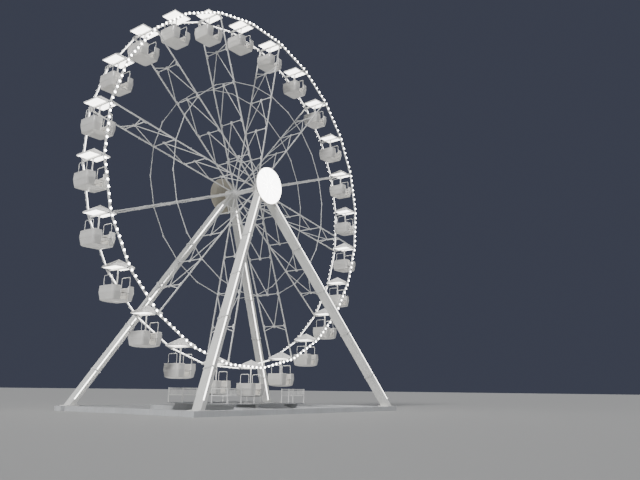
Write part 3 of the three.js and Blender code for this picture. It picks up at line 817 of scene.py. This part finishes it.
def discSector(start, end, inner, outer, y0, y1):
    # A ring sector between two radii, drawn in from its edges by the joint, with a bevelled front
    angle, bevel = np.linspace(start, end, 9), 0.006
    rows = []
    for radius, y, trim in ((inner, y0, 0), (outer, y0, 0), (outer, y1 - bevel, 0),
                            (outer - bevel, y1, 0.004), (inner + bevel, y1, 0.004), (inner, y1 - bevel, 0)):
        spread = angle + (angle.mean() - angle) * 2 * (head["joint"] / 2 + trim) / (radius * (end - start))
        rows.append(np.column_stack([radius * np.cos(spread), np.full(9, y), radius * np.sin(spread)]))
    ends = [ladder(len(rows)) * 9 + column for column in (0, 8)]
    return np.concatenate(rows), np.concatenate([gridQuads(len(rows), 9, wrapRows=True)] + ends)


d0, d1 = head["discY"]
wide, cap, rim, sunk = head["discRadius"], head["cap"], head["rim"], d1 - head["sink"]
dish = alongY(turnedProfile([(0.2, 2.186), (0.2, d0 - 0.06), (cap, d0), (wide - 0.05, d0),
                             (wide - 0.01, d0 + 0.01), (wide, d0 + 0.03), (wide, d1 - 0.012),
                             (wide - 0.012, d1), (wide - rim + 0.005, d1), (wide - rim, sunk),
                             (0.05, sunk)], 96))
rib = boxShape((wide - cap - 0.12, 0.02, 0.024), 0.004)
ribTurns = wheelFrames(np.arange(head["ribs"]) * 2 * math.pi / head["ribs"])
ribs = stamped(rib, ribTurns @ [(wide + cap) / 2, d0 - 0.006, 0], ribTurns)
r0, r1 = head["backRing"]
backRing = turnedProfile([(r0, d0 - 0.016), (r1, d0 - 0.016), (r1, d0 + 0.005), (r0, d0 + 0.005)], 72)
step = 2 * math.pi / head["sectors"]
sectors = [discSector(k * step, (k + 1) * step, cap, wide - rim - 0.005, sunk, d1 - 0.002)
           for k in range(head["sectors"])]
hubCap = alongY(turnedProfile([(cap - 0.01, sunk), (cap - 0.01, d1 - 0.004), (cap - 0.03, d1 - 0.002),
                               (0.05, d1 - 0.001)], 48))
discBody, discFront = joined(dish, ribs, alongY(backRing)), joined(*sectors, hubCap)

# Bearing head: seal ring towards the wheel, chamfered drum, studded cover towards the disc
h0, h1 = head["y"]
r = head["radius"]
sleeve = alongY(turnedProfile([(0.19, h0 - 0.035), (0.25, h0 - 0.035), (0.27, h0 - 0.022), (0.27, h0 - 0.004),
                               (r - 0.03, h0 - 0.004), (r + 0.004, h0 + 0.014), (r + 0.004, h1 - 0.014),
                               (r - 0.02, h1 + 0.004), (r - 0.1, h1 + 0.004), (r - 0.115, h1 + 0.026),
                               (0.24, h1 + 0.026), (0.22, h1 + 0.004)], 64))
studs = stamped(alongY(hexBolt(1.7), h1 + 0.004), ringOnY(r - 0.06, 16))
for face, sign in (("near", -1), ("far", 1)):
    parts = [((points * [1, sign, 1] + hub, quads), material)
             for (points, quads), material in ((discBody, discBack), (discFront, discGlow),
                                               (sleeve, legWhite), (studs, zincBolt))]
    makePiece(f"{face}_lamp_disc", parts[:2], "support", (f"{face}_hub_disc",))
    makePiece(f"{face}_head_sleeve", parts[2:], "support")
print("heads and discs made")


# Legs: a lit channel along one corner and flanged joints

legs = {
    "top": (0.12, 1.79, hub[2] - 0.06), "footX": 11.09, "footY": {"near": 7.33, "far": 6.64},
    "wide": 0.34, "deep": 0.76,
    "joints": (0.27, 0.46, 0.65, 0.84), "jointLap": 0.035, "jointThick": 0.045, "jointGap": 0.06,
    "jointBolts": (0.018, 0.052), "seal": (0.025, 0.02),
    "channel": 0.045, "channelThick": 0.014, "litFrom": 0.06, "litTo": 0.955,
    "litCorners": {"near_left": (-1, -1), "near_right": (1, -1), "far_left": (-1, -1), "far_right": (-1, -1)},
}


def legFrame(side, face):
    # Top of the centre line, its length, and the box section's directions (across, deep, along) as columns
    sx, sy = (-1 if side == "left" else 1), (-1 if face == "near" else 1)
    top = np.array([sx * legs["top"][0], sy * legs["top"][1], legs["top"][2]])
    foot = np.array([sx * legs["footX"], sy * legs["footY"][face], 0.0])
    length = np.linalg.norm(foot - top)
    along = (foot - top) / length
    across = np.cross([0, 1, 0], along)
    across /= np.linalg.norm(across) * np.sign(across[0])
    deep = np.cross(along, across)
    deep *= np.sign(deep[1])
    return top, length, np.column_stack([across, deep, along])


def legTrim(length, cx, cy):
    # Everything on one leg in its own (across, deep, along) order, from the top of its centre line
    w, d, c, thin = legs["wide"], legs["deep"], legs["channel"], legs["channelThick"]
    rim = (w + 2 * legs["jointLap"], d + 2 * legs["jointLap"], legs["jointThick"])
    lap, thick = legs["seal"]
    out, rise = legs["jointBolts"]
    ring = [(x, y) for x in (-w / 2 - out, w / 2 + out) for y in np.linspace(-d / 2, d / 2, 6)]
    ring += [(x, y) for y in (-d / 2 - out, d / 2 + out) for x in np.linspace(-w / 2, w / 2, 3)]
    rims, seals, bolts = [], [], []
    for z in np.array(legs["joints"]) * length:
        seals.append(boxShape((w + 2 * lap, d + 2 * lap, thick), 0, (0, 0, z)))
        for flip in (1, -1):
            rims.append(boxShape(rim, 0.006, (0, 0, z + flip * legs["jointGap"] / 2)))
            spots = [(x, y, z + flip * rise) for x, y in ring]
            bolts.append(stamped(hexBolt(1.3), spots, np.diag([1, flip, flip])))
    x, y = cx * w / 2, cy * d / 2
    z, run = (legs["litFrom"] + legs["litTo"]) / 2 * length, (legs["litTo"] - legs["litFrom"]) * length
    strips = [boxShape((c, thin, run), 0.003, (x - cx * c / 2, y + cy * thin / 2, z)),
              boxShape((thin, c, run), 0.003, (x + cx * thin / 2, y - cy * c / 2, z))]
    return joined(*strips), joined(*rims), joined(*seals), joined(*bolts)


for face in ("near", "far"):
    for side in ("left", "right"):
        top, length, turn = legFrame(side, face)
        shapes = legTrim(length, *legs["litCorners"][f"{face}_{side}"])
        parts = [(stamped(shape, [top], turn), material)
                 for shape, material in zip(shapes, (stripGlow, legWhite, blackSealAndShadowGap, zincBolt))]
        makePiece(f"{face}_{side}_leg_strip", parts[:1], "support")
        makePiece(f"{face}_{side}_leg_joints", parts[1:], "support")
print("legs trimmed")


# Base and deck

deck = {
    "z": 0.62, "halfX": 4.5, "halfY": 3.3, "panels": (6, 6), "gap": 0.008, "thick": 0.006,
    "stepWide": 3.0, "stepRise": 0.2, "stepRun": 0.3, "stepsOut": 0.9,
    "trim": (0.012, 0.08), "trimPlace": (0.002, -0.03), "nosingPlace": (0.026, 0.004),
    "nosing": (0.05, 0.012), "screwInset": 0.06, "balusterGap": 0.125, "balusterRadius": 0.009,
    "railLow": 0.56, "railHigh": 1.07, "postGap": 0.06, "postTop": 1.103,
    "cap": (0.068, 0.068, 0.014), "shoe": (0.16, 0.16, 0.014), "shoeUp": 0.012, "shoeBolt": (0.055, 0.018),
}
railLines = {
    "left_railing": [(-1.6, -3.22), (-3.0, -3.22), (-4.42, -3.22), (-4.42, -1.6)],
    "right_railing": [(1.6, -3.22), (3.0, -3.22), (4.42, -3.22), (4.42, -1.6)],
    "far_railing": [(-4.42, 1.6), (-4.42, 3.22), (-1.5, 3.22), (1.5, 3.22), (4.42, 3.22), (4.42, 1.6)],
}
nx, ny = deck["panels"]
halfX, halfY, deckZ, thick = deck["halfX"], deck["halfY"], deck["z"], deck["thick"]
sizeX, sizeY = 2 * halfX / nx, 2 * halfY / ny
panel = boxShape((sizeX - deck["gap"], sizeY - deck["gap"], thick), 0.002)
grid = [((i + 0.5) * sizeX - halfX, (j + 0.5) * sizeY - halfY, deckZ + thick / 2)
        for i in range(nx) for j in range(ny)]
dx, dy = sizeX / 2 - deck["screwInset"], sizeY / 2 - deck["screwInset"]
screws = [(x + sx * dx, y + sy * dy, deckZ + thick) for x, y, z in grid for sx in (-1, 1) for sy in (-1, 1)]
(trimThick, trimHigh), (out, drop) = deck["trim"], deck["trimPlace"]
trims = []
for s in (-1, 1):
    trims.append(boxShape((2 * halfX, trimThick, trimHigh), 0.003, (0, s * (halfY + out), deckZ + drop)))
    trims.append(boxShape((trimThick, 2 * halfY, trimHigh), 0.003, (s * (halfX + out), 0, deckZ + drop)))
# A nosing on the front edge of each of the three treads
nosing, (back, above) = boxShape((deck["stepWide"] - 0.02, *deck["nosing"]), 0.003), deck["nosingPlace"]
noses = stamped(nosing, [(0, i * deck["stepRun"] + back - halfY - deck["stepsOut"],
                          (i + 1) * deck["stepRise"] + above) for i in range(3)])
makePiece("deck_panels", [(stamped(panel, grid), deckTread), (joined(*trims, noses), brightTrim),
                          (stamped(hexBolt(0.8), screws), zincBolt)], "support")

# Railing infill: balusters, a cap on each post and a bolted shoe round its foot
rod = turnedProfile([(deck["balusterRadius"], z) for z in (deck["railLow"], deck["railHigh"])], 8)
capShape, shoeShape = boxShape(deck["cap"], 0.005), boxShape(deck["shoe"], 0.003)
apart, boltUp = deck["shoeBolt"]
for name, line in railLines.items():
    spots = []
    line = np.array(line)
    for a, b in zip(line[:-1], line[1:]):
        count = int((np.linalg.norm(b - a) - deck["postGap"]) / deck["balusterGap"])
        share = (np.arange(1, count) / count)[:, None]
        spots.append(np.column_stack([a + (b - a) * share, np.full(count - 1, deckZ)]))
    infill = [stamped(rod, np.concatenate(spots)),
              stamped(capShape, [(x, y, deckZ + deck["postTop"]) for x, y in line]),
              stamped(shoeShape, [(x, y, deckZ + deck["shoeUp"]) for x, y in line])]
    bolts = [(x + dx, y + dy, deckZ + boltUp)
             for x, y in line for dx in (-apart, apart) for dy in (-apart, apart)]
    parts = [(joined(*infill), frameWhite), (stamped(hexBolt(0.7), bolts), zincBolt)]
    makePiece(name + "_infill", parts, "support")
print("deck finished")


# Floor, light and camera

camera = {
    "place": (-39.11, -37.85, 1.67), "yaw": 37.27, "pitch": 12.91, "roll": 0.63,
    "focalPixels": 654.1, "imageWidth": 640,
}
floorMesh = bpy.data.meshes.new("floor")
span, floorZ = 900.0, -0.004
floorMesh.from_pydata([(*corner, floorZ) for corner in (square * span).tolist()], [], [(0, 1, 2, 3)])
floorMesh.materials.append(newMaterial("floor_pale", (0.42, 0.42, 0.41), 0.85)[0])
floor = newObject("floor", floorMesh)

world = bpy.data.worlds.new("studio")
world.use_nodes = True
backdrop = world.node_tree.nodes["Background"]
backdrop.inputs["Color"].default_value = (0.05, 0.056, 0.082, 1)
bpy.context.scene.world = world

# Soft suns as strength, spread and turn in degrees: a key from the camera's left, a weaker one from its
# right, and one from below that lights undersides through the floor
suns = {"key": (3.4, 20, (50, 0, -75)), "side": (0.5, 40, (62, 0, 20)), "under": (1.9, 60, (180, 0, 0))}
for name, (energy, spread, turn) in suns.items():
    sun = bpy.data.lights.new(name, "SUN")
    sun.energy = energy
    sun.angle = math.radians(spread)
    newObject(name, sun).rotation_euler = [math.radians(v) for v in turn]
floor.visible_shadow = False

yaw, tilt, roll = (math.radians(camera[k]) for k in ("yaw", "pitch", "roll"))
forward = np.array([math.cos(tilt) * math.cos(yaw), math.cos(tilt) * math.sin(yaw), math.sin(tilt)])
levelRight = np.array([math.sin(yaw), -math.cos(yaw), 0])
levelUp = np.cross(levelRight, forward)
right = levelRight * math.cos(roll) + levelUp * math.sin(roll)
up = np.cross(right, forward)
cameraData = bpy.data.cameras.new("photo_view")
cameraData.sensor_width = 36
cameraData.lens = camera["focalPixels"] / camera["imageWidth"] * cameraData.sensor_width
cameraData.clip_end = 2000
cameraObject = newObject("photo_view", cameraData)
matrix = np.eye(4)
matrix[:3, :3] = np.column_stack([right, up, -forward])
matrix[:3, 3] = camera["place"]
cameraObject.matrix_world = Matrix(matrix.tolist())
bpy.context.scene.camera = cameraObject

print("scene ready")
